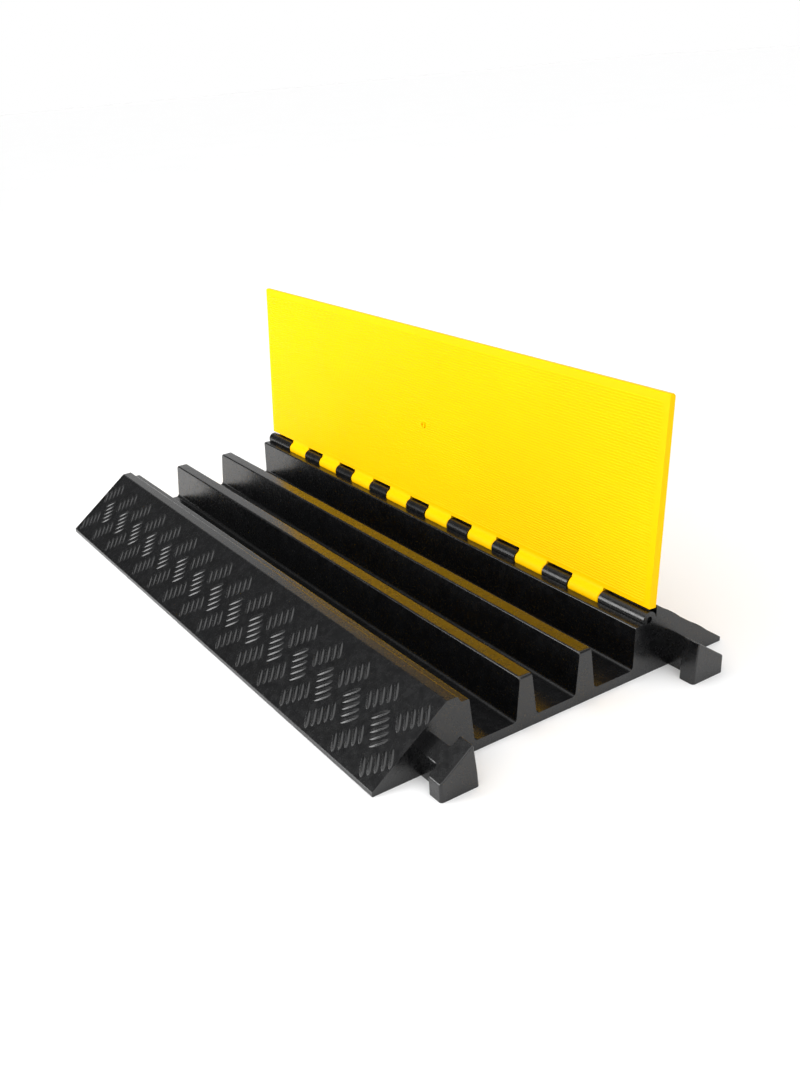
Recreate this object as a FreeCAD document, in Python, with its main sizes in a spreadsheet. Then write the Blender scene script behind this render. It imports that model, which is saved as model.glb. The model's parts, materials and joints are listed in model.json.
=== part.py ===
"""Three-channel rubber cable protector ramp with a hinged PVC lid.

X runs along the cables, Y across them (the front ramp at -Y, the hinge at +Y) and Z up.
The origin is the middle of the base's footprint, on the ground. Millimetres and degrees.
The lid stands open, leaning back on the rear ridge.
"""
import FreeCAD, Part
import math
import os

import Sketcher

SIZES = {
    # the base, from above and in section
    "unit_length": 900.0,
    "base_width": 500.0,
    "toe_height": 5.5,
    "slope_rise": 0.724,
    "ridge_height": 75.0,
    "ridge_width": 13.5,
    "riser_run": 4.5,
    "ledge_height": 67.0,
    "ledge_width": 10.0,
    "floor_thickness": 12.5,
    "divider_height": 66.0,
    "divider_width": 17.3,
    "channel_width": 66.4,
    "channel_edge": -126.0,
    "wall_draft": 5.3,
    "rear_wall_draft": 2.5,
    "rear_ledge_width": 10.2,
    "ridge_round": 3.0,
    "wall_round": 2.0,
    # shallow drain grooves across the underside
    "groove_width": 8.0,
    "groove_depth": 2.0,
    "groove_margin": 18.0,
    "groove_pitch": 50.0,
    "groove_count": 18.0,
    # the hinge
    "hinge_y": 128.5,
    "hinge_z": 70.0,
    "barrel_radius": 10.0,
    "trough_gap": 0.8,
    "rod_radius": 4.0,
    "rod_length": 888.0,
    "bore_gap": 0.05,
    "barrel_pitch": 100.0,
    "base_barrel_length": 45.0,
    "barrel_side_gap": 1.0,
    # the lid
    "lid_length": 898.0,
    "lid_reach": 257.5,
    "lid_root": 12.8,
    "lid_root_top": 9.5,
    "lid_under": 1.3,
    "lid_tip_thickness": 7.5,
    "lid_corner": 2.0,
    "rib_pitch": 3.4,
    "rib_width": 1.8,
    "rib_height": 0.6,
    "rib_margin": 9.0,
    "rib_count": 68.0,
    "lid_open_angle": 93.9,
    # the connectors and the sockets that take the next unit's
    "front_head_y": -178.0,
    "front_neck_y": -181.0,
    "rear_head_y": 172.5,
    "rear_neck_y": 172.0,
    "neck_length": 29.0,
    "neck_width": 18.5,
    "head_length": 48.0,
    "head_thickness": 22.0,
    "head_low_side": 21.5,
    "crown_run": 6.0,
    "head_crown": 52.0,
    "edge_round": 4.0,
    "socket_gap": 1.0,
    "socket_block": 66.0,
    # how far features of one body run into each other, and how far a test looks past an edge
    "lap": 1.0,
    "thin_lap": 0.1,
}
BARREL_COUNT = 9
PARTS_FOLDER = "parts"

doc = FreeCAD.newDocument("cable_protector_ramp")
sheet = doc.addObject("Spreadsheet::Sheet", "sizes")


def fill_sheet():
    """Write one driving dimension to each row: its name in A, its value in B with that alias."""
    for row, (name, value) in enumerate(SIZES.items(), start=1):
        sheet.set(f"A{row}", name)
        sheet.set(f"B{row}", str(value))
        sheet.setAlias(f"B{row}", name)
    doc.recompute()


def add_body(label):
    body = doc.addObject("PartDesign::Body", label)
    body.Label = label
    return body


def origin_feature(body, role):
    """Return one of the body's own planes or axes, such as YZ_Plane or X_Axis."""
    for feature in body.Origin.OriginFeatures:
        if feature.Role == role:
            return feature
    raise ValueError(role)


def add_sketch(body, name, plane, offset="0"):
    """Attach an empty sketch to one of the body's planes, moved along its normal by offset."""
    sketch = body.newObject("Sketcher::SketchObject", name)
    sketch.AttachmentSupport = [(origin_feature(body, plane), "")]
    sketch.MapMode = "FlatFace"
    sketch.setExpression("AttachmentOffset.Base.z", offset)
    return sketch


def draw_polygon(sketch, corners):
    """Draw a closed polygon and pin every corner to its pair of expressions."""
    count = len(corners)
    start = [FreeCAD.Vector(math.cos(math.tau * i / count), math.sin(math.tau * i / count), 0)
             for i in range(count)]
    for i in range(count):
        sketch.addGeometry(Part.LineSegment(start[i], start[(i + 1) % count]), False)
    for i in range(count):
        sketch.addConstraint(Sketcher.Constraint("Coincident", i, 2, (i + 1) % count, 1))
    for i, (across, up) in enumerate(corners):
        for kind, text in (("DistanceX", across), ("DistanceY", up)):
            index = sketch.addConstraint(Sketcher.Constraint(kind, -1, 1, i, 1, 1.0))
            name = f"{kind}_{i}"
            sketch.renameConstraint(index, name)
            sketch.setExpression(f"Constraints.{name}", text)


def draw_circle(sketch, radius):
    """Draw a circle on the sketch's origin."""
    centre = FreeCAD.Vector(0, 0, 0)
    sketch.addGeometry(Part.Circle(centre, FreeCAD.Vector(0, 0, 1), 1.0), False)
    sketch.addConstraint(Sketcher.Constraint("Coincident", 0, 3, -1, 1))
    index = sketch.addConstraint(Sketcher.Constraint("Radius", 0, 1.0))
    sketch.renameConstraint(index, "radius")
    sketch.setExpression("Constraints.radius", radius)


def add_pad(body, name, sketch, length):
    pad = body.newObject("PartDesign::Pad", name)
    pad.Profile = sketch
    pad.setExpression("Length", length)
    doc.recompute()
    return pad


def add_pocket(body, name, sketch, length, reverse=False):
    """Cut the sketch out of the body, and stop if nothing was cut."""
    before = body.Shape.Volume
    pocket = body.newObject("PartDesign::Pocket", name)
    pocket.Profile = sketch
    pocket.setExpression("Length", length)
    pocket.Reversed = reverse
    doc.recompute()
    if not body.Shape.Volume < before:
        raise ValueError(f"{name} cuts nothing")
    return pocket


def add_row(body, name, feature, span, count, axis="X_Axis"):
    """Repeat a feature along one of the body's axes."""
    row = body.newObject("PartDesign::LinearPattern", name)
    row.Originals = [feature]
    row.Direction = (origin_feature(body, axis), [""])
    row.setExpression("Length", span)
    row.setExpression("Occurrences", count)
    body.Tip = row
    doc.recompute()
    return row


def edges_along(shape, direction, near):
    """Name the straight edges that run along a direction and pass the test near(midpoint)."""
    names = []
    for index, edge in enumerate(shape.Edges, start=1):
        run = edge.Vertexes[-1].Point - edge.Vertexes[0].Point
        if run.Length < 1e-6 or abs(run.normalize().dot(direction)) < 0.999:
            continue
        if near(edge.CenterOfMass):
            names.append(f"Edge{index}")
    return names


def add_fillet(body, name, feature, edges, radius):
    fillet = body.newObject("PartDesign::Fillet", name)
    fillet.Base = (feature, edges)
    fillet.setExpression("Radius", radius)
    doc.recompute()
    return fillet


def section_body(label, corners, start, length):
    """Make a straight moulding: a polygon across the unit, padded along X."""
    body = add_body(label)
    sketch = add_sketch(body, f"{label}_section", "YZ_Plane", start)
    draw_polygon(sketch, corners)
    add_pad(body, f"{label}_pad", sketch, length)
    return body


def round_crest(body, radius, floor):
    """Round the edges along X that lie higher than floor, in millimetres."""
    along = FreeCAD.Vector(1, 0, 0)
    edges = edges_along(body.Shape, along, lambda middle: middle.z > floor)
    return add_fillet(body, f"{body.Label}_crest", body.Tip, edges, radius)


# Places worked out from the sheet, as expressions
HALF_LENGTH = "(sizes.unit_length / 2)"
HALF_WIDTH = "(sizes.base_width / 2)"
CHANNEL_PITCH = "(sizes.channel_width + sizes.divider_width)"
FRONT_FOOT = "(sizes.channel_edge + sizes.wall_draft)"
RISER_FOOT = "(sizes.channel_edge - sizes.ledge_width)"
RIDGE_BACK = f"({RISER_FOOT} - sizes.riser_run)"
RIDGE_FRONT = f"({RIDGE_BACK} - sizes.ridge_width)"
REAR_EDGE = f"(sizes.channel_edge + 2 * {CHANNEL_PITCH} + sizes.channel_width)"
REAR_FOOT = f"({REAR_EDGE} - sizes.rear_wall_draft)"
TROUGH_FRONT = f"({REAR_EDGE} + sizes.rear_ledge_width)"
TROUGH_BACK = "(sizes.hinge_y + sizes.barrel_radius + sizes.trough_gap)"
TROUGH_FLOOR = "(sizes.hinge_z - sizes.barrel_radius - sizes.trough_gap)"
REAR_CREST = f"(sizes.toe_height + sizes.slope_rise * ({HALF_WIDTH} - {TROUGH_BACK}))"

FRONT_RAMP_SECTION = [
    (f"-{HALF_WIDTH}", "0"),
    (RISER_FOOT, "0"),
    (RISER_FOOT, "sizes.ledge_height"),
    (RIDGE_BACK, "sizes.ridge_height"),
    (RIDGE_FRONT, "sizes.ridge_height"),
    (f"-{HALF_WIDTH}", "sizes.toe_height"),
]
REAR_RAMP_SECTION = [
    (TROUGH_BACK, "0"),
    (HALF_WIDTH, "0"),
    (HALF_WIDTH, "sizes.toe_height"),
    (TROUGH_BACK, REAR_CREST),
]


def make_floor():
    """The slab under the channels, with drain grooves across its underside."""
    section = [(FRONT_FOOT, "0"), (REAR_FOOT, "0"),
               (REAR_FOOT, "sizes.floor_thickness"), (FRONT_FOOT, "sizes.floor_thickness")]
    body = section_body("channel_floor", section, f"-{HALF_LENGTH}", "sizes.unit_length")
    first = "(-sizes.groove_pitch * (sizes.groove_count - 1) / 2)"
    left = f"({first} - sizes.groove_width / 2)"
    right = f"({first} + sizes.groove_width / 2)"
    near = f"({FRONT_FOOT} + sizes.groove_margin)"
    far = f"({REAR_FOOT} - sizes.groove_margin)"
    sketch = add_sketch(body, "groove_outline", "XY_Plane")
    draw_polygon(sketch, [(left, near), (right, near), (right, far), (left, far)])
    groove = add_pocket(body, "groove", sketch, "sizes.groove_depth", reverse=True)
    add_row(body, "grooves", groove, "sizes.groove_pitch * (sizes.groove_count - 1)",
            "sizes.groove_count")
    return body


def make_divider(label, number):
    """A tapered wall between two channels; number counts them from the front."""
    left = f"(sizes.channel_edge + {number} * {CHANNEL_PITCH} - sizes.divider_width)"
    right = f"(sizes.channel_edge + {number} * {CHANNEL_PITCH})"
    section = [(f"{left} - sizes.wall_draft", "sizes.floor_thickness"),
               (f"{right} + sizes.wall_draft", "sizes.floor_thickness"),
               (right, "sizes.divider_height"), (left, "sizes.divider_height")]
    body = section_body(label, section, f"-{HALF_LENGTH}", "sizes.unit_length")
    round_crest(body, "sizes.wall_round", SIZES["divider_height"] - SIZES["lap"])
    return body


def make_walls():
    """The outer walls of the first and last channels, and the bed under the hinge."""
    front = [(RISER_FOOT, "0"), (FRONT_FOOT, "0"), (FRONT_FOOT, "sizes.floor_thickness"),
             ("sizes.channel_edge", "sizes.ledge_height"), (RISER_FOOT, "sizes.ledge_height")]
    rear = [(REAR_FOOT, "0"), (TROUGH_FRONT, "0"), (TROUGH_FRONT, "sizes.ledge_height"),
            (REAR_EDGE, "sizes.ledge_height"), (REAR_FOOT, "sizes.floor_thickness")]
    bed = [(TROUGH_FRONT, "0"), (TROUGH_BACK, "0"),
           (TROUGH_BACK, TROUGH_FLOOR), (TROUGH_FRONT, TROUGH_FLOOR)]
    return [section_body(label, section, f"-{HALF_LENGTH}", "sizes.unit_length")
            for label, section in (("front_channel_wall", front), ("rear_channel_wall", rear),
                                   ("hinge_bed", bed))]


def make_ramp(label, section):
    """A tread ramp, from its socket block to the connector end."""
    body = section_body(label, section, f"-{HALF_LENGTH} + sizes.socket_block",
                        "sizes.unit_length - sizes.socket_block")
    if label.startswith("front"):
        round_crest(body, "sizes.ridge_round", SIZES["ledge_height"] + SIZES["lap"])
    return body


def connector_outline(side, gap):
    """The connector across the unit: side is +1 at the rear and -1 at the front."""
    head = "sizes.rear_head_y" if side > 0 else "sizes.front_head_y"
    outer = f"({head} + {side} * (sizes.head_length / 2 + {gap}))"
    inner = f"({head} - {side} * (sizes.head_length / 2 + {gap}))"
    crown = f"({inner} + {side} * sizes.crown_run)"
    ring = [(outer, "0"), (outer, f"sizes.head_low_side + {gap}"),
            (crown, f"sizes.head_crown + {gap}"), (inner, "0")]
    return ring if side < 0 else ring[::-1]


def neck_cutters(body, side, gap, start, length):
    """Trim the stretch of neck that starts at start to the neck's width, from both sides."""
    neck = "sizes.rear_neck_y" if side > 0 else "sizes.front_neck_y"
    top = "sizes.ridge_height"
    for name, sign in (("low_y", -1), ("high_y", 1)):
        near = f"({neck} + {sign} * (sizes.neck_width / 2 + {gap}))"
        far = f"({neck} + {sign} * sizes.head_length)"
        ring = [(near, "0"), (far, "0"), (far, top), (near, top)]
        sketch = add_sketch(body, f"{body.Label}_{name}", "YZ_Plane", start)
        draw_polygon(sketch, ring if sign > 0 else ring[::-1])
        add_pocket(body, f"{body.Label}_{name}_cut", sketch, length, reverse=True)


def make_connector(label, side):
    """A male T connector: a neck out of the end face and a wider head, with a sloping top."""
    body = section_body(label, connector_outline(side, "0"), HALF_LENGTH,
                        "sizes.neck_length + sizes.head_thickness")
    neck_cutters(body, side, "0", HALF_LENGTH, "sizes.neck_length")
    upright = FreeCAD.Vector(0, 0, 1)
    face = SIZES["unit_length"] / 2 + SIZES["lap"]
    edges = edges_along(body.Shape, upright, lambda middle: middle.x > face)
    add_fillet(body, f"{label}_rounding", body.Tip, edges, "sizes.edge_round")
    return body


def make_socket(label, side, section):
    """The end of a ramp with the T pocket, open underneath and at its mouth."""
    body = section_body(label, section, f"-{HALF_LENGTH}", "sizes.socket_block")
    if side < 0:
        round_crest(body, "sizes.ridge_round", SIZES["ledge_height"] + SIZES["lap"])
    outline = connector_outline(side, "sizes.socket_gap")
    mouth = "sizes.neck_length - sizes.socket_gap"
    chamber = add_sketch(body, f"{label}_chamber", "YZ_Plane", f"-{HALF_LENGTH} + {mouth}")
    draw_polygon(chamber, outline)
    add_pocket(body, f"{label}_chamber_cut", chamber,
               "sizes.head_thickness + 2 * sizes.socket_gap", reverse=True)
    neck = "sizes.rear_neck_y" if side > 0 else "sizes.front_neck_y"
    half = "(sizes.neck_width / 2 + sizes.socket_gap)"
    low = f"({neck} - {half})"
    high = f"({neck} + {half})"
    fall = (f"({-side} * (sizes.head_crown - sizes.head_low_side)"
            " / (sizes.head_length - sizes.crown_run))")
    head = "sizes.rear_head_y" if side > 0 else "sizes.front_head_y"
    foot = f"({head} + {side} * sizes.head_length / 2)"
    rise = f"sizes.head_low_side + sizes.socket_gap + {fall} *"
    slot = add_sketch(body, f"{label}_slot", "YZ_Plane", f"-{HALF_LENGTH}")
    draw_polygon(slot, [(low, "0"), (high, "0"), (high, f"{rise} ({high} - {foot})"),
                        (low, f"{rise} ({low} - {foot})")])
    add_pocket(body, f"{label}_slot_cut", slot, mouth, reverse=True)
    return body


def make_base_barrel(number):
    """A hinge barrel of the base on its foot; the first and last run to the ends."""
    label = f"base_barrel_{number + 1}"
    middle = f"({number} - {BARREL_COUNT // 2}) * sizes.barrel_pitch"
    low = f"({middle} - sizes.base_barrel_length / 2)"
    high = f"({middle} + sizes.base_barrel_length / 2)"
    if number == 0:
        low = f"(-{HALF_LENGTH})"
    if number == BARREL_COUNT - 1:
        high = HALF_LENGTH
    foot = [("-sizes.barrel_radius", "-sizes.barrel_radius - sizes.trough_gap"),
            ("sizes.barrel_radius + sizes.trough_gap", "-sizes.barrel_radius - sizes.trough_gap"),
            ("sizes.barrel_radius + sizes.trough_gap", "0"), ("-sizes.barrel_radius", "0")]
    body = section_body(label, foot, low, f"{high} - {low}")
    round_sketch = add_sketch(body, f"{label}_round", "YZ_Plane", low)
    draw_circle(round_sketch, "sizes.barrel_radius")
    add_pad(body, f"{label}_barrel", round_sketch, f"{high} - {low}")
    bore_sketch = add_sketch(body, f"{label}_bore", "YZ_Plane", low)
    draw_circle(bore_sketch, "sizes.rod_radius + sizes.bore_gap")
    add_pocket(body, f"{label}_bore_cut", bore_sketch, f"{high} - {low}", reverse=True)
    body.setExpression("Placement.Base.y", "sizes.hinge_y")
    body.setExpression("Placement.Base.z", "sizes.hinge_z")
    return body


def make_lid():
    """The lid, drawn closed with the hinge line on its own X axis, then swung open."""
    half = "(sizes.lid_length / 2)"
    plate = [("-sizes.lid_reach", "-sizes.lid_under"), ("-sizes.lid_root", "-sizes.lid_under"),
             ("-sizes.lid_root", "sizes.lid_root_top"),
             ("-sizes.lid_reach", "sizes.lid_tip_thickness - sizes.lid_under")]
    body = section_body("lid", plate, f"-{half}", "sizes.lid_length")
    upright = FreeCAD.Vector(0, 0, 1)
    root = -SIZES["lid_root"] - SIZES["lap"]
    free = edges_along(body.Shape, upright, lambda middle: middle.y < root)
    add_fillet(body, "lid_corners", body.Tip, free, "sizes.lid_corner")
    left = f"(-{half} + sizes.rib_margin)"
    right = f"({half} - sizes.rib_margin)"
    near = "(-sizes.lid_reach + sizes.rib_margin)"
    far = f"({near} + sizes.rib_width)"
    rib_sketch = add_sketch(body, "lid_rib", "XY_Plane", "-sizes.lid_under - sizes.rib_height")
    draw_polygon(rib_sketch, [(left, near), (right, near), (right, far), (left, far)])
    rib = add_pad(body, "lid_rib_pad", rib_sketch, "sizes.rib_height + sizes.thin_lap")
    add_row(body, "lid_ribs", rib, "sizes.rib_pitch * (sizes.rib_count - 1)",
            "sizes.rib_count", "Y_Axis")
    length = "(sizes.barrel_pitch - sizes.base_barrel_length - 2 * sizes.barrel_side_gap)"
    span = f"(sizes.barrel_pitch * {BARREL_COUNT - 2})"
    first = f"(-{span} / 2 - {length} / 2)"
    web_end = "-sizes.lid_root - sizes.lap"
    web = [(web_end, "-sizes.lid_under"), ("0", "-sizes.lid_under"),
           ("0", "sizes.barrel_radius"), (web_end, "sizes.lid_root_top - sizes.thin_lap")]
    web_sketch = add_sketch(body, "lid_web", "YZ_Plane", first)
    draw_polygon(web_sketch, web)
    web_pad = add_pad(body, "lid_web_pad", web_sketch, length)
    add_row(body, "lid_webs", web_pad, span, f"{BARREL_COUNT - 1}")
    round_sketch = add_sketch(body, "lid_round", "YZ_Plane", first)
    draw_circle(round_sketch, "sizes.barrel_radius")
    barrel = add_pad(body, "lid_barrel", round_sketch, length)
    add_row(body, "lid_barrels", barrel, span, f"{BARREL_COUNT - 1}")
    bore_sketch = add_sketch(body, "lid_bore", "YZ_Plane", f"-{half}")
    draw_circle(bore_sketch, "sizes.rod_radius + sizes.bore_gap")
    add_pocket(body, "lid_bore_cut", bore_sketch, "sizes.lid_length", reverse=True)
    body.Placement = FreeCAD.Placement(FreeCAD.Vector(0, 0, 0),
                                       FreeCAD.Rotation(FreeCAD.Vector(-1, 0, 0), 90))
    body.setExpression("Placement.Rotation.Angle", "sizes.lid_open_angle")
    body.setExpression("Placement.Base.y", "sizes.hinge_y")
    body.setExpression("Placement.Base.z", "sizes.hinge_z")
    return body


def make_rod():
    """The steel hinge rod, a little shorter than the base."""
    rod = doc.addObject("Part::Cylinder", "hinge_rod")
    rod.Label = "hinge_rod"
    rod.setExpression("Radius", "sizes.rod_radius")
    rod.setExpression("Height", "sizes.rod_length")
    rod.Placement = FreeCAD.Placement(FreeCAD.Vector(0, 0, 0),
                                      FreeCAD.Rotation(FreeCAD.Vector(0, 1, 0), 90))
    rod.setExpression("Placement.Base.x", "-sizes.rod_length / 2")
    rod.setExpression("Placement.Base.y", "sizes.hinge_y")
    rod.setExpression("Placement.Base.z", "sizes.hinge_z")
    return rod


def make_all():
    pieces = [make_floor(), make_divider("front_divider", 1), make_divider("rear_divider", 2)]
    pieces += make_walls()
    pieces.append(make_ramp("front_ramp", FRONT_RAMP_SECTION))
    pieces.append(make_ramp("rear_ramp", REAR_RAMP_SECTION))
    pieces.append(make_socket("front_socket", -1, FRONT_RAMP_SECTION))
    pieces.append(make_socket("rear_socket", 1, REAR_RAMP_SECTION))
    pieces.append(make_connector("front_connector", -1))
    pieces.append(make_connector("rear_connector", 1))
    pieces += [make_base_barrel(number) for number in range(BARREL_COUNT)]
    pieces += [make_lid(), make_rod()]
    return pieces


def check_document():
    """Stop if any object failed to recompute."""
    for item in doc.Objects:
        if "Invalid" in item.State or "Error" in item.State:
            raise ValueError(f"{item.Name}: {item.State}")


def export(pieces):
    os.makedirs(PARTS_FOLDER, exist_ok=True)
    for piece in pieces:
        shape = piece.Shape
        if shape.isNull() or not shape.isValid() or len(shape.Solids) != 1:
            raise ValueError(f"{piece.Label} is not one valid solid")
        shape.exportStep(os.path.join(PARTS_FOLDER, f"{piece.Label}.step"))
        box = shape.BoundBox
        print(f"{piece.Label}: x {box.XMin:.1f} {box.XMax:.1f}  y {box.YMin:.1f} {box.YMax:.1f}"
              f"  z {box.ZMin:.1f} {box.ZMax:.1f}  volume {shape.Volume / 1000:.1f} cm3")


fill_sheet()
model = make_all()
doc.recompute()
check_document()
export(model)
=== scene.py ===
"""A cable protector ramp: a black rubber base with three channels and a yellow lid standing open.

X runs along the channels, Y across them and Z up, in metres, as in the frame.
"""

import json
import math

import bmesh
import bpy
from mathutils import Matrix, Vector


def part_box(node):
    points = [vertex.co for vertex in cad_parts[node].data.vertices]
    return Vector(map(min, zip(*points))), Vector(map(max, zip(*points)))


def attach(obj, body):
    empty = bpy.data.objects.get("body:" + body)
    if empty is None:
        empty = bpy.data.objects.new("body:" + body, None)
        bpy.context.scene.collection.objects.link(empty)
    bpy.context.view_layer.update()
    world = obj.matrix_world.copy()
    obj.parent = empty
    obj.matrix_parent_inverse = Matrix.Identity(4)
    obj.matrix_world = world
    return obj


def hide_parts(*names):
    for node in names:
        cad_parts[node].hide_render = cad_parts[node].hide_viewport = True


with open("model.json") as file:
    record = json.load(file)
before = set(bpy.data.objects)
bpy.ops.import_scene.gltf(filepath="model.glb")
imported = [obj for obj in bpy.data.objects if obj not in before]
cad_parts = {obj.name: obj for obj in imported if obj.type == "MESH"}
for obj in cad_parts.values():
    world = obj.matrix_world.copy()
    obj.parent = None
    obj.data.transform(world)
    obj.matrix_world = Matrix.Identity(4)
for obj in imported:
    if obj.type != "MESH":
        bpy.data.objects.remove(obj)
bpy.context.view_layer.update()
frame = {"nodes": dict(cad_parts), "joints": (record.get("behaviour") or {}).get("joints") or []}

MM = 0.001


def corner_boxes(*nodes):
    return [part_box(node) for node in nodes]


# The base's section, read from the frame
FLOOR_BOX, FRONT_RAMP, REAR_RAMP, FRONT_WALL, REAR_WALL = corner_boxes(
    "channel_floor", "front_ramp", "rear_ramp", "front_channel_wall", "rear_channel_wall")
FRONT_DIVIDER, REAR_DIVIDER, BED, BARREL, ROD = corner_boxes(
    "front_divider", "rear_divider", "hinge_bed", "base_barrel_5", "hinge_rod")
HALF_LENGTH = FLOOR_BOX[1].x
FLOOR_TOP = FLOOR_BOX[1].z
LEDGE = FRONT_WALL[1].z
DRAFT = 5.3 * MM
REAR_DRAFT = 2.5 * MM
TOE_HEIGHT = 5.5 * MM
RIDGE_WIDTH = 13.5 * MM
RISER_RUN = 4.5 * MM
RIDGE_BACK = FRONT_RAMP[1].y - RISER_RUN
RIDGE_FRONT = RIDGE_BACK - RIDGE_WIDTH
SLOPE_RUN = RIDGE_FRONT - FRONT_RAMP[0].y
SLOPE_RISE = FRONT_RAMP[1].z - TOE_HEIGHT
SLOPE_ANGLE = math.atan2(SLOPE_RISE, SLOPE_RUN)

# The hinge
HINGE_Y = (ROD[0].y + ROD[1].y) / 2
HINGE_Z = (ROD[0].z + ROD[1].z) / 2
ROD_RADIUS = (ROD[1].z - ROD[0].z) / 2
BARREL_RADIUS = BARREL[1].z - HINGE_Z
FOOT_TOP = HINGE_Z + 0.5 * MM
BARREL_HALF = BARREL[1].x
BARREL_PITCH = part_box("base_barrel_6")[1].x - BARREL[1].x
BARREL_COUNT = 9
BARREL_SIDE_GAP = 1.0 * MM
KNUCKLE_HALF = BARREL_PITCH / 2 - BARREL_HALF - BARREL_SIDE_GAP

# The lid, in the closed position about the hinge line
LID_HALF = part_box("lid")[1].x
LID_OPEN = math.radians(frame["joints"][0]["range_deg"][1])
LID_REACH = 257.5 * MM
LID_ROOT = 12.8 * MM
LID_ROOT_TOP = 9.5 * MM
KNUCKLE_FILLET = 6.0 * MM
KNUCKLE_ROUND = 2.8 * MM
LID_CORNER = 2.0 * MM
GATE_PLACE = (9.0 * MM, -127.0 * MM)
GATE_RADIUS = 4.6 * MM
GATE_WALL = 1.7 * MM
GATE_HEIGHT = 2.2 * MM
LID_UNDER = 1.3 * MM
LID_TIP_TOP = 6.2 * MM
LID_SPLIT = 15.5 * MM
RIB_PITCH = 3.4 * MM
RIB_HEIGHT = 0.6 * MM
RIB_MARGIN = 9.0 * MM
RIB_FADE = 0.04
RIB_COUNT = 68
RIB_END_RUN = 1.5 * MM
ROOT_BEVEL = 0.6 * MM
KNUCKLE_BLEND = 0.2

# The T connectors and their sockets
CONNECTORS = {"front": (-1, -181.0 * MM), "rear": (1, 172.0 * MM)}
NECK_LENGTH = 29.0 * MM
NECK_HALF = 9.25 * MM
HEAD_LOW_SIDE = 21.5 * MM
HEAD_CROWN = 52.0 * MM
CROWN_RUN = 6.0 * MM
SOCKET_GAP = 1.0 * MM
NECK_OVERLAP = 2.0 * MM
T_CORNER = 3.5 * MM

# How far edges are rounded, and the band above the ground whose edges stay sharp
BASE_ROUND = 1.2 * MM
CONNECTOR_ROUND = 1.5 * MM
LID_ROUND = 0.7 * MM
END_ROUND = 4.0 * MM
GROUND_BAND = 3.0 * MM

ARC_STEPS = 5
MERGE = 0.02 * MM
SLACK = 0.1 * MM


# ---------------------------------------------------------------- mesh tools

def rounded(corners):
    """Turn (across, up, radius) corners into points, with an arc wherever the radius isn't 0."""
    points = []
    count = len(corners)
    for i, (across, up, radius) in enumerate(corners):
        here = Vector((across, up))
        if radius == 0:
            points.append(here)
            continue
        before = Vector(corners[i - 1][:2]) - here
        after = Vector(corners[(i + 1) % count][:2]) - here
        before.normalize()
        after.normalize()
        half = before.angle(after) / 2
        reach = radius / math.tan(half)
        centre = here + (before + after).normalized() * (radius / math.sin(half))
        first = here + before * reach - centre
        turn = first.angle_signed(here + after * reach - centre)
        for step in range(ARC_STEPS + 1):
            spin = Matrix.Rotation(-turn * step / ARC_STEPS, 2)
            points.append(centre + spin @ first)
    return points


def arc(centre, radius, start, end, steps):
    """Points along an arc from one angle to another."""
    angles = [start + (end - start) * step / steps for step in range(steps + 1)]
    return [centre + Vector((math.cos(a), math.sin(a))) * radius for a in angles]


def object_from(mesh_builder, name, smooth_angle=35.0):
    """Make a linked object from a bmesh, smooth except where faces meet at a clear angle."""
    bmesh.ops.recalc_face_normals(mesh_builder, faces=mesh_builder.faces)
    mesh = bpy.data.meshes.new(name)
    mesh_builder.to_mesh(mesh)
    mesh_builder.free()
    mesh.shade_smooth()
    mesh.set_sharp_from_angle(angle=math.radians(smooth_angle))
    piece = bpy.data.objects.new(name, mesh)
    bpy.context.scene.collection.objects.link(piece)
    return piece


def apply_modifiers(piece):
    """Replace a piece's mesh with the one its modifiers make."""
    graph = bpy.context.evaluated_depsgraph_get()
    mesh = bpy.data.meshes.new_from_object(piece.evaluated_get(graph))
    piece.modifiers.clear()
    piece.data = mesh


def clean(piece):
    """Merge points that lie on each other and drop the faces that this leaves without area."""
    builder = bmesh.new()
    builder.from_mesh(piece.data)
    bmesh.ops.remove_doubles(builder, verts=builder.verts[:], dist=MERGE)
    bmesh.ops.dissolve_degenerate(builder, edges=builder.edges[:], dist=MERGE)
    builder.to_mesh(piece.data)
    builder.free()


def mark_upper_edges(piece, angle, floor):
    """Weigh for rounding the edges that are sharper than the angle and rise above floor."""
    builder = bmesh.new()
    builder.from_mesh(piece.data)
    weight = builder.edges.layers.float.new("bevel_weight_edge")
    for edge in builder.edges:
        above = max(vert.co.z for vert in edge.verts) > floor
        if above and edge.calc_face_angle(0) > math.radians(angle):
            edge[weight] = 1.0
    builder.to_mesh(piece.data)
    builder.free()


def round_edges(piece, width, segments=3, angle=40.0, clamp=True, floor=None):
    """Bevel the edges sharper than the angle, and let the flats keep their own normals.

    clamp lets the smallest faces hold the width back. With floor given, the edges that stay below
    that height are left sharp.
    """
    clean(piece)
    bevel = piece.modifiers.new("edge_rounding", "BEVEL")
    bevel.width = width
    bevel.segments = segments
    bevel.limit_method = "ANGLE"
    bevel.angle_limit = math.radians(angle)
    bevel.miter_outer = "MITER_ARC"
    bevel.use_clamp_overlap = clamp
    if floor is not None:
        mark_upper_edges(piece, angle, floor)
        bevel.limit_method = "WEIGHT"
    apply_modifiers(piece)
    clean(piece)
    piece.data.shade_smooth()
    piece.data.set_sharp_from_angle(angle=math.radians(45.0))
    weighted = piece.modifiers.new("flat_normals", "WEIGHTED_NORMAL")
    weighted.keep_sharp = True
    weighted.weight = 100
    apply_modifiers(piece)


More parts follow.
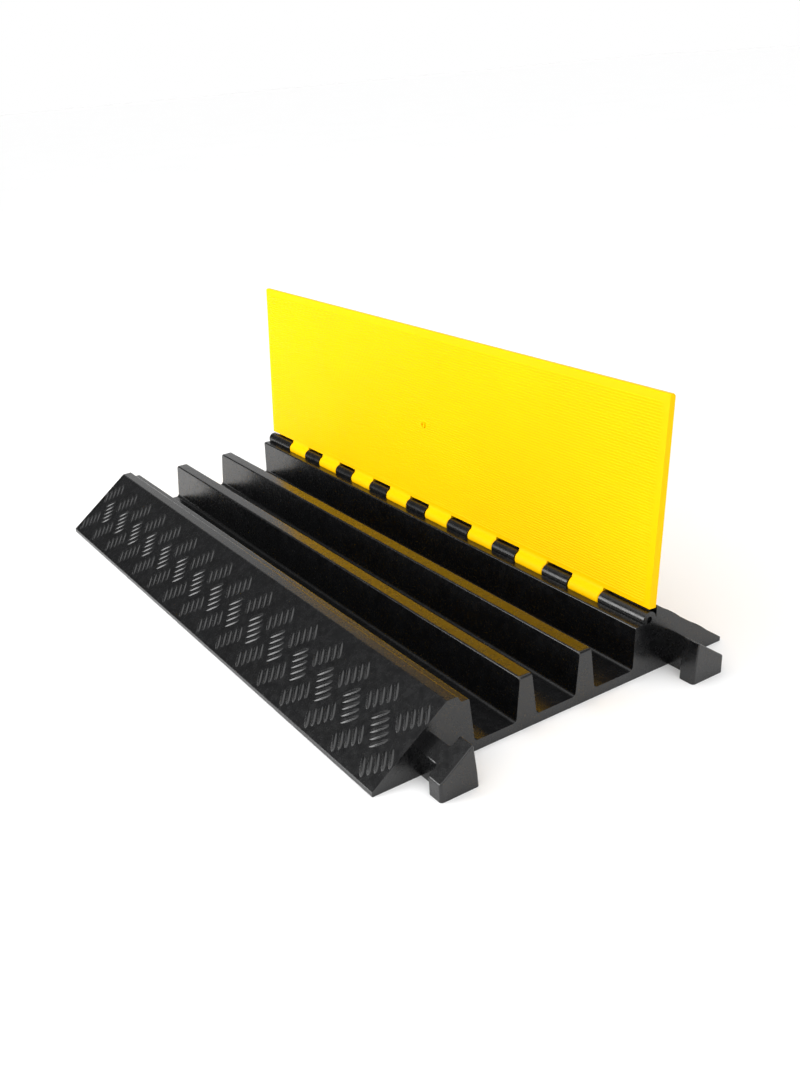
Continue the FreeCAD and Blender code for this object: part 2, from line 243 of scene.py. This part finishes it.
def sweep(name, common, variants, stations, kinds, adjust=None):
    """Sweep a section along X whose last stretch changes from interval to interval.

    common is the chain of points shared by every section. variants holds, by kind, the chain that
    closes it, from common's last point back to its first. kinds names one variant per interval.
    """
    builder = bmesh.new()

    def ring(x, chain):
        moved = [adjust(x, point) if adjust else point for point in chain]
        return [builder.verts.new((x, point[0], point[1])) for point in moved]

    shared = [ring(x, common) for x in stations]
    closing = []
    for i, x in enumerate(stations):
        beside = sorted({*kinds[max(i - 1, 0):i + 1]})
        closing.append({kind: ring(x, variants[kind]) for kind in beside})
    for i, kind in enumerate(kinds):
        near = shared[i] + closing[i][kind]
        far = shared[i + 1] + closing[i + 1][kind]
        for j in range(len(near)):
            k = (j + 1) % len(near)
            builder.faces.new((near[j], near[k], far[k], far[j]))
    for i in range(1, len(kinds)):
        before, after = kinds[i - 1], kinds[i]
        if before != after:
            ends = [shared[i][-1], *closing[i][before], shared[i][0]]
            builder.faces.new(ends + closing[i][after][::-1])
    builder.faces.new(shared[0] + closing[0][kinds[0]])
    builder.faces.new(shared[-1] + closing[-1][kinds[-1]])
    return object_from(builder, name)


def prism(builder, outline, low, high):
    """Add an upright prism over an outline in plan."""
    bottom = [builder.verts.new((x, y, low)) for x, y in outline]
    top = [builder.verts.new((x, y, high)) for x, y in outline]
    builder.faces.new(bottom[::-1])
    builder.faces.new(top)
    for i in range(len(outline)):
        k = (i + 1) % len(outline)
        builder.faces.new((bottom[i], bottom[k], top[k], top[i]))


def slice_off(builder, point, normal):
    """Cut away what lies beyond a plane and close the cut."""
    everything = builder.verts[:] + builder.edges[:] + builder.faces[:]
    cut = bmesh.ops.bisect_plane(builder, geom=everything, plane_co=point, plane_no=normal,
                                 clear_outer=True)
    edges = [item for item in cut["geom_cut"] if isinstance(item, bmesh.types.BMEdge)]
    bmesh.ops.contextual_create(builder, geom=edges)


# ---------------------------------------------------------------- the base

def base_section():
    """The base across the unit, from the rear wall's rest round by the front to the rear ridge."""
    crest = TOE_HEIGHT + math.tan(SLOPE_ANGLE) * (REAR_RAMP[1].y - REAR_RAMP[0].y)
    foot_round = 5.0 * MM
    wall_round = 2.2 * MM
    corners = [
        (REAR_WALL[1].y, LEDGE, 0),
        (REAR_WALL[0].y + REAR_DRAFT, LEDGE, wall_round),
        (REAR_WALL[0].y, FLOOR_TOP, foot_round),
    ]
    for low, high in (REAR_DIVIDER, FRONT_DIVIDER):
        corners += [
            (high.y, FLOOR_TOP, foot_round),
            (high.y - DRAFT, high.z, wall_round),
            (low.y + DRAFT, high.z, wall_round),
            (low.y, FLOOR_TOP, foot_round),
        ]
    corners += [
        (FRONT_WALL[1].y, FLOOR_TOP, foot_round),
        (FRONT_WALL[1].y - DRAFT, LEDGE, wall_round),
        (FRONT_RAMP[1].y, LEDGE, 1.5 * MM),
        (RIDGE_BACK, FRONT_RAMP[1].z, 2.5 * MM),
        (RIDGE_FRONT, FRONT_RAMP[1].z, 4.0 * MM),
        (FRONT_RAMP[0].y, TOE_HEIGHT, 1.5 * MM),
        (FRONT_RAMP[0].y, 0, 0.6 * MM),
        (REAR_RAMP[1].y, 0, 0.6 * MM),
        (REAR_RAMP[1].y, TOE_HEIGHT, 1.5 * MM),
        (REAR_RAMP[0].y, crest, 0),
        (REAR_RAMP[0].y, FOOT_TOP, 0),
    ]
    return rounded(corners)


def hinge_sections():
    """What closes the base's section: an empty trough, or a hinge barrel standing in it."""
    back = REAR_RAMP[0].y
    front = REAR_WALL[1].y
    floor = BED[1].z
    trough = [Vector((back, floor)), Vector((front, floor))]
    first = math.radians(4.0)
    last = math.pi - math.asin((LEDGE - HINGE_Z) / BARREL_RADIUS)
    barrel = arc(Vector((HINGE_Y, HINGE_Z)), BARREL_RADIUS, first, last, steps=20)
    return {"trough": trough, "barrel": barrel}


def hinge_stations():
    """The places along X where the barrels start and stop, and what stands in each interval."""
    stations = [-HALF_LENGTH]
    kinds = []
    for number in range(BARREL_COUNT):
        middle = (number - BARREL_COUNT // 2) * BARREL_PITCH
        if number > 0:
            stations.append(middle - BARREL_HALF)
            kinds.append("trough")
        if number < BARREL_COUNT - 1:
            stations.append(middle + BARREL_HALF)
            kinds.append("barrel")
    stations.append(HALF_LENGTH)
    kinds.append("barrel")
    return stations, kinds


def end_stations(stations, kinds):
    """Add close stations at both ends, where the dividers' tops curve down."""
    steps = 4
    extra = [END_ROUND * (1 - math.sin(math.pi / 2 * step / steps)) for step in range(steps)]
    head = [-HALF_LENGTH] + [-HALF_LENGTH + gap for gap in extra[::-1]]
    return (head + stations[1:-1] + [-x for x in head[::-1]],
            ["barrel"] * steps + kinds + ["barrel"] * steps)


def curve_down(x, point):
    """Lower the dividers' tops near the ends of the base, along a quarter circle."""
    beyond = abs(x) - (HALF_LENGTH - END_ROUND)
    in_divider = any(low.y < point[0] < high.y for low, high in (FRONT_DIVIDER, REAR_DIVIDER))
    if beyond <= 0 or not in_divider or point[1] < FRONT_DIVIDER[1].z - END_ROUND:
        return point
    drop = END_ROUND - math.sqrt(max(END_ROUND ** 2 - beyond ** 2, 0))
    return Vector((point[0], point[1] - drop))


def connector_plan(neck_y, head_low, head_high, gap, inner_x, outer_x, start_x):
    """The T in plan: a neck from start_x to inner_x and a head from there to outer_x."""
    low = neck_y - NECK_HALF - gap
    high = neck_y + NECK_HALF + gap
    return [
        (start_x, low, 0),
        (inner_x, low, T_CORNER - gap),
        (inner_x, head_low, T_CORNER),
        (outer_x, head_low, T_CORNER),
        (outer_x, head_high, T_CORNER),
        (inner_x, head_high, T_CORNER),
        (inner_x, high, T_CORNER - gap),
        (start_x, high, 0),
    ]


def add_t_block(builder, side, neck_y, node, gap, x_shift):
    """Add a T block with a sloping top; gap widens it into the hollow of a socket."""
    low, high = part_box(node)
    inner_x = HALF_LENGTH + NECK_LENGTH - gap + x_shift
    outer_x = high.x + gap + x_shift
    start_x = HALF_LENGTH - NECK_OVERLAP + x_shift
    plan = connector_plan(neck_y, low.y - gap, high.y + gap, gap, inner_x, outer_x, start_x)
    below = -gap * 5
    above = HEAD_CROWN * 2
    prism(builder, [tuple(point) for point in rounded(plan)], below, above)
    outer_y = (low.y if side < 0 else high.y) + side * gap
    inner_y = (high.y if side < 0 else low.y) - side * gap
    crown_y = inner_y + side * CROWN_RUN
    rise = (HEAD_CROWN - HEAD_LOW_SIDE) / abs(crown_y - outer_y)
    slice_off(builder, (0, outer_y, HEAD_LOW_SIDE + gap), (0, side * rise, 1))
    slice_off(builder, (0, inner_y, 0), (0, -side, CROWN_RUN / HEAD_CROWN))


def socket_cutters():
    """The hollows of the two T sockets."""
    pieces = []
    for name, (side, neck_y) in CONNECTORS.items():
        builder = bmesh.new()
        add_t_block(builder, side, neck_y, f"{name}_connector", SOCKET_GAP, -2 * HALF_LENGTH)
        pieces.append(object_from(builder, "socket_cutter"))
    return pieces


def groove_cutter():
    """Bars across the unit that make the drain grooves underneath."""
    count = 18
    pitch = 50.0 * MM
    half = 4.0 * MM
    margin = 18.0 * MM
    depth = 2.0 * MM
    near = FLOOR_BOX[0].y + margin
    far = FLOOR_BOX[1].y - margin
    builder = bmesh.new()
    for number in range(count):
        middle = (number - (count - 1) / 2) * pitch
        outline = [(middle - half, near), (middle + half, near),
                   (middle + half, far), (middle - half, far)]
        prism(builder, outline, -depth, depth)
    return object_from(builder, "groove_cutter")


def bore_cutter():
    """A round bar along the hinge line that makes the rod's bore."""
    radius = ROD_RADIUS * 1.01
    builder = bmesh.new()
    bar = bmesh.ops.create_cone(builder, cap_ends=True, segments=32, depth=HALF_LENGTH * 2.1,
                                radius1=radius, radius2=radius)
    turn = Matrix.Translation((0, HINGE_Y, HINGE_Z)) @ Matrix.Rotation(math.pi / 2, 4, "Y")
    bmesh.ops.transform(builder, matrix=turn, verts=bar["verts"])
    return object_from(builder, "bore_cutter")


def cut(piece, cutters):
    """Take the cutters away from a piece, one by one."""
    for cutter in cutters:
        modifier = piece.modifiers.new("cut", "BOOLEAN")
        modifier.operation = "DIFFERENCE"
        modifier.solver = "EXACT"
        modifier.object = cutter
        apply_modifiers(piece)
        bpy.data.objects.remove(cutter)


def make_base():
    stations, kinds = end_stations(*hinge_stations())
    base = sweep("base_moulding", base_section(), hinge_sections(), stations, kinds, curve_down)
    cut(base, [*socket_cutters(), groove_cutter(), bore_cutter()])
    round_edges(base, BASE_ROUND)
    return base


def make_connector(name, side, neck_y):
    builder = bmesh.new()
    add_t_block(builder, side, neck_y, f"{name}_connector", 0.0, 0.0)
    slice_off(builder, (0, 0, 0), (0, 0, -1))
    piece = object_from(builder, f"{name}_connector_moulding")
    round_edges(piece, CONNECTOR_ROUND, segments=4, clamp=False, floor=GROUND_BAND)
    return piece


# ---------------------------------------------------------------- the tread

BAR_LENGTH = 26.0 * MM
BAR_WIDTH = 7.6 * MM
BAR_HEIGHT = 1.3 * MM
BAR_PITCH = 8.7 * MM
BAR_CREST = 0.3
BAR_DIP = 0.18
BAR_ANGLE = math.radians(48.0)
BARS_PER_CELL = 5
CELL_PITCH = 57.1 * MM
CELL_RISE = 29.0 * MM
CELL_MIDDLE = 55.0 * MM


def bar_profile(side):
    """The height of a bar across its width, as a share of the whole: two soft crests."""
    away = abs(side)
    if away < BAR_CREST:
        return 1 - BAR_DIP * (1 + math.cos(math.pi * away / BAR_CREST)) / 2
    return (1 + math.cos(math.pi * (away - BAR_CREST) / (1 - BAR_CREST))) / 2


def add_bar(builder, place, along, up):
    """Add one raised bar, rounded over its length and across it."""
    stations = 10
    steps = 12
    sink = 0.2 * MM
    across = along.cross(up)
    rows = []
    for i in range(1, stations):
        t = -math.cos(math.pi * i / stations)
        half = BAR_WIDTH / 2 * (1 - t ** 4) ** 0.6
        row = []
        for j in range(steps + 1):
            side = -1 + 2 * j / steps
            lift = BAR_HEIGHT * (1 - t ** 2) * bar_profile(side) - sink
            row.append(builder.verts.new(
                place + along * (t * BAR_LENGTH / 2) + across * (side * half) + up * lift))
        rows.append(row)
    for near, far in zip(rows, rows[1:]):
        for j in range(steps):
            builder.faces.new((near[j], near[j + 1], far[j + 1], far[j]))
        builder.faces.new((near[steps], near[0], far[0], far[steps]))
    for row, end in ((rows[0], -1), (rows[-1][::-1], 1)):
        tip = builder.verts.new(place + along * (end * BAR_LENGTH / 2) - up * sink)
        for j in range(steps + 1):
            builder.faces.new((row[j], tip, row[(j + 1) % (steps + 1)]))


def add_cell(builder, middle, right, uphill, up, lean):
    """Add a cell of parallel bars; lean is +1 where they climb to the right."""
    along = right * math.cos(BAR_ANGLE) + uphill * (lean * math.sin(BAR_ANGLE))
    row = (right - uphill * lean).normalized()
    for number in range(BARS_PER_CELL):
        offset = (number - (BARS_PER_CELL - 1) / 2) * BAR_PITCH
        add_bar(builder, middle + row * offset, along, up)


def make_tread(name, toe, direction):
    """Five-bar tread over one ramp; toe is a point on its lowest edge at X 0."""
    right = Vector((1, 0, 0))
    uphill = Vector((0, direction * math.cos(SLOPE_ANGLE), math.sin(SLOPE_ANGLE)))
    up = Vector((0, -direction * math.sin(SLOPE_ANGLE), math.cos(SLOPE_ANGLE)))
    builder = bmesh.new()
    span = 7
    for number in range(-span, span + 1):
        middle = toe + right * (number * CELL_PITCH) + uphill * CELL_MIDDLE
        add_cell(builder, middle, right, uphill, up, 1)
    for number in range(-span, span + 2):
        for rise in (-CELL_RISE, CELL_RISE):
            across = (number - 0.5) * CELL_PITCH
            middle = toe + right * across + uphill * (CELL_MIDDLE + rise)
            add_cell(builder, middle, right, uphill, up, -1)
    return object_from(builder, name, smooth_angle=60.0)


# ---------------------------------------------------------------- the lid

def lid_section():
    """The lid's plate across the unit, closed, from under the root round by the free edge."""
    lip = 1.6 * MM
    under = -LID_UNDER
    chain = [Vector((-LID_SPLIT, under))]
    first_rib = -LID_REACH + RIB_MARGIN
    steps = 6
    for number in reversed(range(RIB_COUNT)):
        start = first_rib + number * RIB_PITCH
        for step in reversed(range(steps)):
            t = step / steps
            depth = RIB_HEIGHT * (1 - math.cos(math.tau * t)) / 2
            chain.append(Vector((start + t * RIB_PITCH * 0.9, under - depth)))
    edge = rounded([(-LID_ROOT, under, 0), (-LID_REACH, under, lip),
                    (-LID_REACH, LID_TIP_TOP, lip * 1.5), (-LID_ROOT, LID_ROOT_TOP, 0)])
    chain += edge[1:-1]
    chain.append(Vector((-LID_SPLIT, LID_ROOT_TOP)))
    return chain


def lid_root_sections():
    """What closes the lid's section: a plain edge by a base barrel, or the lid's own barrel."""
    top = LID_ROOT_TOP
    plain = [
        Vector((-LID_ROOT - ROOT_BEVEL, top)),
        Vector((-LID_ROOT, top - ROOT_BEVEL)),
        Vector((-LID_ROOT, ROOT_BEVEL - LID_UNDER)),
        Vector((-LID_ROOT - ROOT_BEVEL, -LID_UNDER)),
    ]
    hollow = Vector((0, -LID_UNDER - KNUCKLE_FILLET))
    hollow.x = -math.sqrt((BARREL_RADIUS + KNUCKLE_FILLET) ** 2 - hollow.y ** 2)
    meet = math.atan2(hollow.y, hollow.x)
    barrel = arc(Vector((0, 0)), BARREL_RADIUS, math.pi / 2, meet, steps=28)
    barrel += arc(hollow, KNUCKLE_FILLET, meet + math.pi, math.pi / 2, steps=6)[1:]
    return {"plain": plain, "barrel": barrel}


def lid_stations():
    """The places along X where the lid changes, and what closes its section in each interval."""
    steps = 4
    ends = [LID_HALF - LID_CORNER * (1 - math.sin(math.pi / 2 * step / steps))
            for step in range(steps, -1, -1)]
    ends += [LID_HALF - RIB_MARGIN + RIB_END_RUN, LID_HALF - RIB_MARGIN]
    stations = [-x for x in ends]
    kinds = ["plain"] * len(ends)
    insets = [KNUCKLE_ROUND * (1 - math.cos(math.pi / 2 * step / steps))
              for step in range(steps + 1)]
    for number in range(BARREL_COUNT - 1):
        middle = (number - (BARREL_COUNT - 2) / 2) * BARREL_PITCH
        stations += [middle - KNUCKLE_HALF + inset for inset in insets]
        stations += [middle + KNUCKLE_HALF - inset for inset in insets[::-1]]
        kinds += ["barrel"] * (2 * len(insets) - 1) + ["plain"]
    stations += ends[::-1]
    kinds += ["plain"] * (len(ends) - 1)
    return stations, kinds


def shape_lid(x, point):
    """Flatten the ribs near the lid's ends, round its two free corners and its knuckles' ends."""
    across, up = point
    if abs(x) > LID_HALF - RIB_MARGIN + SLACK and up < -LID_UNDER:
        up = -LID_UNDER + (up + LID_UNDER) * RIB_FADE
    beyond = abs(x) - (LID_HALF - LID_CORNER)
    if beyond > 0 and across < -LID_REACH + LID_CORNER:
        across += LID_CORNER - math.sqrt(max(LID_CORNER ** 2 - beyond ** 2, 0))
    inset = KNUCKLE_HALF - abs(abs(x) % BARREL_PITCH - BARREL_PITCH / 2)
    limit = BARREL_RADIUS * (1 + KNUCKLE_BLEND)
    if point.length < limit and -SLACK < inset < KNUCKLE_ROUND:
        rise = KNUCKLE_ROUND - max(inset, 0)
        pull = KNUCKLE_ROUND - math.sqrt(KNUCKLE_ROUND ** 2 - rise ** 2)
        pull *= min((limit - point.length) / (BARREL_RADIUS * KNUCKLE_BLEND), 1)
        pull *= min(max((BARREL_RADIUS / 2 - up) / BARREL_RADIUS, 0), 1)
        return Vector((across, up)) * (1 - pull / point.length)
    return Vector((across, up))


def add_gate_mark(lid):
    """The small raised ring left on the lid's underside where the mould was filled."""
    steps = 32
    sunk = 0.5 * MM
    taper = 0.3 * MM
    inner = GATE_RADIUS - GATE_WALL
    profile = [(GATE_RADIUS, sunk - LID_UNDER), (GATE_RADIUS - taper, -LID_UNDER - GATE_HEIGHT),
               (inner + taper, -LID_UNDER - GATE_HEIGHT), (inner, sunk - LID_UNDER)]
    builder = bmesh.new()
    builder.from_mesh(lid.data)
    rings = []
    for radius, up in profile:
        turns = [math.tau * step / steps for step in range(steps)]
        rings.append([builder.verts.new((GATE_PLACE[0] + radius * math.cos(turn),
                                         GATE_PLACE[1] + radius * math.sin(turn), up))
                      for turn in turns])
    for near, far in zip(rings, rings[1:] + rings[:1]):
        for j in range(steps):
            k = (j + 1) % steps
            builder.faces.new((near[j], far[j], far[k], near[k]))
    builder.to_mesh(lid.data)
    builder.free()


def open_lid():
    """The movement from the closed lid's own place to where it stands open."""
    hinge = Matrix.Translation((0, HINGE_Y, HINGE_Z))
    return hinge @ Matrix.Rotation(-LID_OPEN, 4, "X")


def make_lid():
    stations, kinds = lid_stations()
    lid = sweep("lid_moulding", lid_section(), lid_root_sections(), stations, kinds, shape_lid)
    round_edges(lid, LID_ROUND, angle=55.0)
    add_gate_mark(lid)
    lid.data.transform(open_lid())
    return lid


# ---------------------------------------------------------------- materials

def set_stops(node, stops):
    """Give a colour ramp its stops, as (position, colour)."""
    elements = node.color_ramp.elements
    while len(elements) < len(stops):
        elements.new(0.5)
    for element, (position, colour) in zip(elements, stops):
        element.position = position
        element.color = (*colour, 1)


class Nodes:
    """A small helper to build a material's node tree."""

    def __init__(self, name):
        self.material = bpy.data.materials.new(name)
        self.material.use_nodes = True
        self.tree = self.material.node_tree
        self.shader = self.tree.nodes["Principled BSDF"]
        self.place = self.tree.nodes.new("ShaderNodeTexCoord").outputs["Object"]

    def link(self, source, target):
        self.tree.links.new(source, target)

    def noise(self, scale, detail=4.0, roughness=0.6, stretch=(1, 1, 1)):
        mapping = self.tree.nodes.new("ShaderNodeMapping")
        mapping.inputs["Scale"].default_value = stretch
        self.link(self.place, mapping.inputs["Vector"])
        node = self.tree.nodes.new("ShaderNodeTexNoise")
        node.inputs["Scale"].default_value = scale
        node.inputs["Detail"].default_value = detail
        node.inputs["Roughness"].default_value = roughness
        self.link(mapping.outputs["Vector"], node.inputs["Vector"])
        return node.outputs["Fac"]

    def ramp(self, source, *stops):
        """Colour stops as (position, colour)."""
        node = self.tree.nodes.new("ShaderNodeValToRGB")
        set_stops(node, stops)
        self.link(source, node.inputs["Fac"])
        return node.outputs["Color"]

    def spread(self, source, low, high):
        """Map 0.3 to 0.7 of a noise onto low to high."""
        node = self.tree.nodes.new("ShaderNodeMapRange")
        node.inputs["From Min"].default_value = 0.3
        node.inputs["From Max"].default_value = 0.7
        node.inputs["To Min"].default_value = low
        node.inputs["To Max"].default_value = high
        self.link(source, node.inputs["Value"])
        return node.outputs["Result"]

    def bump(self, height, strength, distance):
        node = self.tree.nodes.new("ShaderNodeBump")
        node.inputs["Strength"].default_value = strength
        node.inputs["Distance"].default_value = distance
        self.link(height, node.inputs["Height"])
        self.link(node.outputs["Normal"], self.shader.inputs["Normal"])


def rubber_material():
    """Moulded black rubber with a faint bloom and a fine grain."""
    nodes = Nodes("black_rubber")
    cloud = nodes.noise(30.0, detail=6.0)
    colour = nodes.ramp(cloud, (0.3, (0.0010, 0.0010, 0.0012)), (0.7, (0.0032, 0.0034, 0.0039)))
    nodes.link(colour, nodes.shader.inputs["Base Color"])
    nodes.link(nodes.spread(nodes.noise(110.0), 0.21, 0.31), nodes.shader.inputs["Roughness"])
    nodes.shader.inputs["Specular IOR Level"].default_value = 0.62
    nodes.bump(nodes.noise(450.0, detail=3.0), 0.15, 0.15 * MM)
    return nodes.material


def lid_material():
    """Yellow polyvinyl chloride, a little waxy."""
    nodes = Nodes("yellow_plastic")
    cloud = nodes.noise(5.0, detail=3.0)
    colour = nodes.ramp(cloud, (0.3, (1.0, 0.530, 0.0)), (0.7, (1.0, 0.560, 0.0)))
    nodes.link(colour, nodes.shader.inputs["Base Color"])
    nodes.link(nodes.spread(nodes.noise(40.0), 0.42, 0.52), nodes.shader.inputs["Roughness"])
    nodes.shader.inputs["Specular IOR Level"].default_value = 0.05
    nodes.bump(nodes.noise(700.0, detail=2.0), 0.12, 0.2 * MM)
    return nodes.material


def steel_material():
    """Drawn steel rod, slightly dull."""
    nodes = Nodes("rod_steel")
    nodes.shader.inputs["Metallic"].default_value = 1.0
    grain = nodes.noise(300.0, stretch=(0.05, 1, 1))
    colour = nodes.ramp(grain, (0.3, (0.20, 0.20, 0.21)), (0.7, (0.34, 0.34, 0.35)))
    nodes.link(colour, nodes.shader.inputs["Base Color"])
    nodes.link(nodes.spread(grain, 0.28, 0.42), nodes.shader.inputs["Roughness"])
    return nodes.material


def floor_material():
    nodes = Nodes("pale_floor")
    shade = nodes.ramp(nodes.noise(2.0), (0.0, (0.90, 0.90, 0.90)), (1.0, (0.93, 0.93, 0.93)))
    nodes.link(shade, nodes.shader.inputs["Base Color"])
    nodes.shader.inputs["Roughness"].default_value = 0.9
    return nodes.material


def paint(piece, material):
    piece.data.materials.clear()
    piece.data.materials.append(material)


# ---------------------------------------------------------------- the studio

def aim(thing, target):
    thing.rotation_euler = (Vector(target) - thing.location).to_track_quat("-Z", "Y").to_euler()


def add_light(name, place, target, size, power):
    light = bpy.data.lights.new(name, "AREA")
    light.shape = "RECTANGLE"
    light.size, light.size_y = size
    light.energy = power
    lamp = bpy.data.objects.new(name, light)
    lamp.location = place
    aim(lamp, target)
    lamp.visible_camera = False
    bpy.context.scene.collection.objects.link(lamp)


# The walls' brightness by height, as the sine of the elevation
WALL_STOPS = ((0.0, 1.0), (0.12, 1.0), (0.34, 0.12), (1.0, 0.12))
# Towards the dark side, and how the brightness falls as a direction nears it
DARK_SIDE = (-0.94, -0.34, 0.0)
DARK_SIDE_FALL = {"From Min": 0.89, "From Max": 0.97, "To Min": 1.05, "To Max": 0.12}
WHITE = (1.0, 1.0, 1.0, 1.0)


def make_world():
    """A studio lit from low down and cut off on the dark side, which the camera sees as white."""
    world = bpy.data.worlds.new("studio")
    bpy.context.scene.world = world
    world.use_nodes = True
    tree = world.node_tree
    direction = tree.nodes.new("ShaderNodeTexCoord").outputs["Generated"]
    parts = tree.nodes.new("ShaderNodeSeparateXYZ")
    tree.links.new(direction, parts.inputs["Vector"])
    fade = tree.nodes.new("ShaderNodeValToRGB")
    set_stops(fade, [(position, (grey, grey, grey)) for position, grey in WALL_STOPS])
    tree.links.new(parts.outputs["Z"], fade.inputs["Fac"])
    tree.links.new(fade.outputs["Color"], tree.nodes["Background"].inputs["Color"])
    facing = tree.nodes.new("ShaderNodeVectorMath")
    facing.operation = "DOT_PRODUCT"
    facing.inputs[1].default_value = DARK_SIDE
    tree.links.new(direction, facing.inputs[0])
    shade = tree.nodes.new("ShaderNodeMapRange")
    shade.interpolation_type = "SMOOTHSTEP"
    for socket, value in DARK_SIDE_FALL.items():
        shade.inputs[socket].default_value = value
    tree.links.new(facing.outputs["Value"], shade.inputs["Value"])
    tree.links.new(shade.outputs["Result"], tree.nodes["Background"].inputs["Strength"])
    plain = tree.nodes.new("ShaderNodeBackground")
    plain.inputs["Color"].default_value = WHITE
    seen = tree.nodes.new("ShaderNodeLightPath")
    choice = tree.nodes.new("ShaderNodeMixShader")
    tree.links.new(seen.outputs["Is Camera Ray"], choice.inputs["Fac"])
    tree.links.new(tree.nodes["Background"].outputs["Background"], choice.inputs[1])
    tree.links.new(plain.outputs["Background"], choice.inputs[2])
    tree.links.new(choice.outputs["Shader"], tree.nodes["World Output"].inputs["Surface"])


def add_sun(name, towards, strength, spread):
    """A very soft light from far away; towards points from the object to the light."""
    light = bpy.data.lights.new(name, "SUN")
    light.energy = strength
    light.angle = math.radians(spread)
    lamp = bpy.data.objects.new(name, light)
    lamp.location = towards
    aim(lamp, (0, 0, 0))
    bpy.context.scene.collection.objects.link(lamp)


def make_studio():
    bpy.context.scene.view_settings.view_transform = "Standard"
    make_world()
    add_sun("overhead", (0.2, -0.25, 0.95), 3.15, 100.0)
    add_light("key", (-0.9, -2.3, 0.7), (-0.2, 0.1, 0.2), (1.8, 1.3), 52.0)
    add_light("side", (2.6, 0.4, 0.8), (0.4, 0.1, 0.2), (1.0, 1.0), 7.0)
    add_light("backdrop", (-2.9, 2.4, 1.35), (0, 0, 0.1), (5.2, 2.0), 17.0)
    builder = bmesh.new()
    bmesh.ops.create_grid(builder, x_segments=2, y_segments=2, size=30.0)
    floor = object_from(builder, "floor")
    paint(floor, floor_material())


CAMERA_PLACE = (1.2119, -0.6836, 0.6595)
CAMERA_TURN = (59.62, 26.61, -4.71)
CAMERA_LENS = 35.68
CAMERA_SHIFT = (0.0301, 0.0499)


def make_camera():
    """A tripod camera to the front right of the unit, a little above it."""
    yaw, pitch, roll = (math.radians(angle) for angle in CAMERA_TURN)
    forward = Vector((-math.sin(yaw) * math.cos(pitch), math.cos(yaw) * math.cos(pitch),
                      -math.sin(pitch)))
    right = Vector((math.cos(yaw), math.sin(yaw), 0))
    up = right.cross(forward)
    tilted_right = right * math.cos(roll) + up * math.sin(roll)
    tilted_up = up * math.cos(roll) - right * math.sin(roll)
    data = bpy.data.cameras.new("camera")
    data.sensor_width = 36.0
    data.lens = CAMERA_LENS
    data.shift_x, data.shift_y = CAMERA_SHIFT
    camera = bpy.data.objects.new("camera", data)
    turn = Matrix((tilted_right, tilted_up, -forward)).transposed()
    camera.matrix_world = Matrix.Translation(CAMERA_PLACE) @ turn.to_4x4()
    bpy.context.scene.collection.objects.link(camera)
    bpy.context.scene.camera = camera


# ---------------------------------------------------------------- assembly

BASE_NODES = ["channel_floor", "front_divider", "rear_divider", "front_channel_wall",
              "rear_channel_wall", "hinge_bed", "front_ramp", "rear_ramp", "front_socket",
              "rear_socket"] + [f"base_barrel_{i + 1}" for i in range(BARREL_COUNT)]


def finish_piece(piece, body, slot, material, *nodes):
    paint(piece, material)
    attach(piece, body)
    if nodes:
        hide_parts(*nodes)


def build():
    rubber = rubber_material()
    yellow = lid_material()
    finish_piece(make_base(), "base", "base_rubber", rubber, *BASE_NODES)
    for name, (side, neck_y) in CONNECTORS.items():
        piece = make_connector(name, side, neck_y)
        finish_piece(piece, "base", "base_rubber", rubber, f"{name}_connector")
    front_toe = Vector((0, FRONT_RAMP[0].y, TOE_HEIGHT))
    rear_toe = Vector((0, REAR_RAMP[1].y, TOE_HEIGHT))
    finish_piece(make_tread("front_tread", front_toe, 1), "base", "base_rubber", rubber)
    finish_piece(make_tread("rear_tread", rear_toe, -1), "base", "base_rubber", rubber)
    finish_piece(make_lid(), "lid", "lid_plastic", yellow, "lid")
    paint(frame["nodes"]["hinge_rod"], steel_material())
    make_studio()
    make_camera()


build()
bpy.context.view_layer.update()
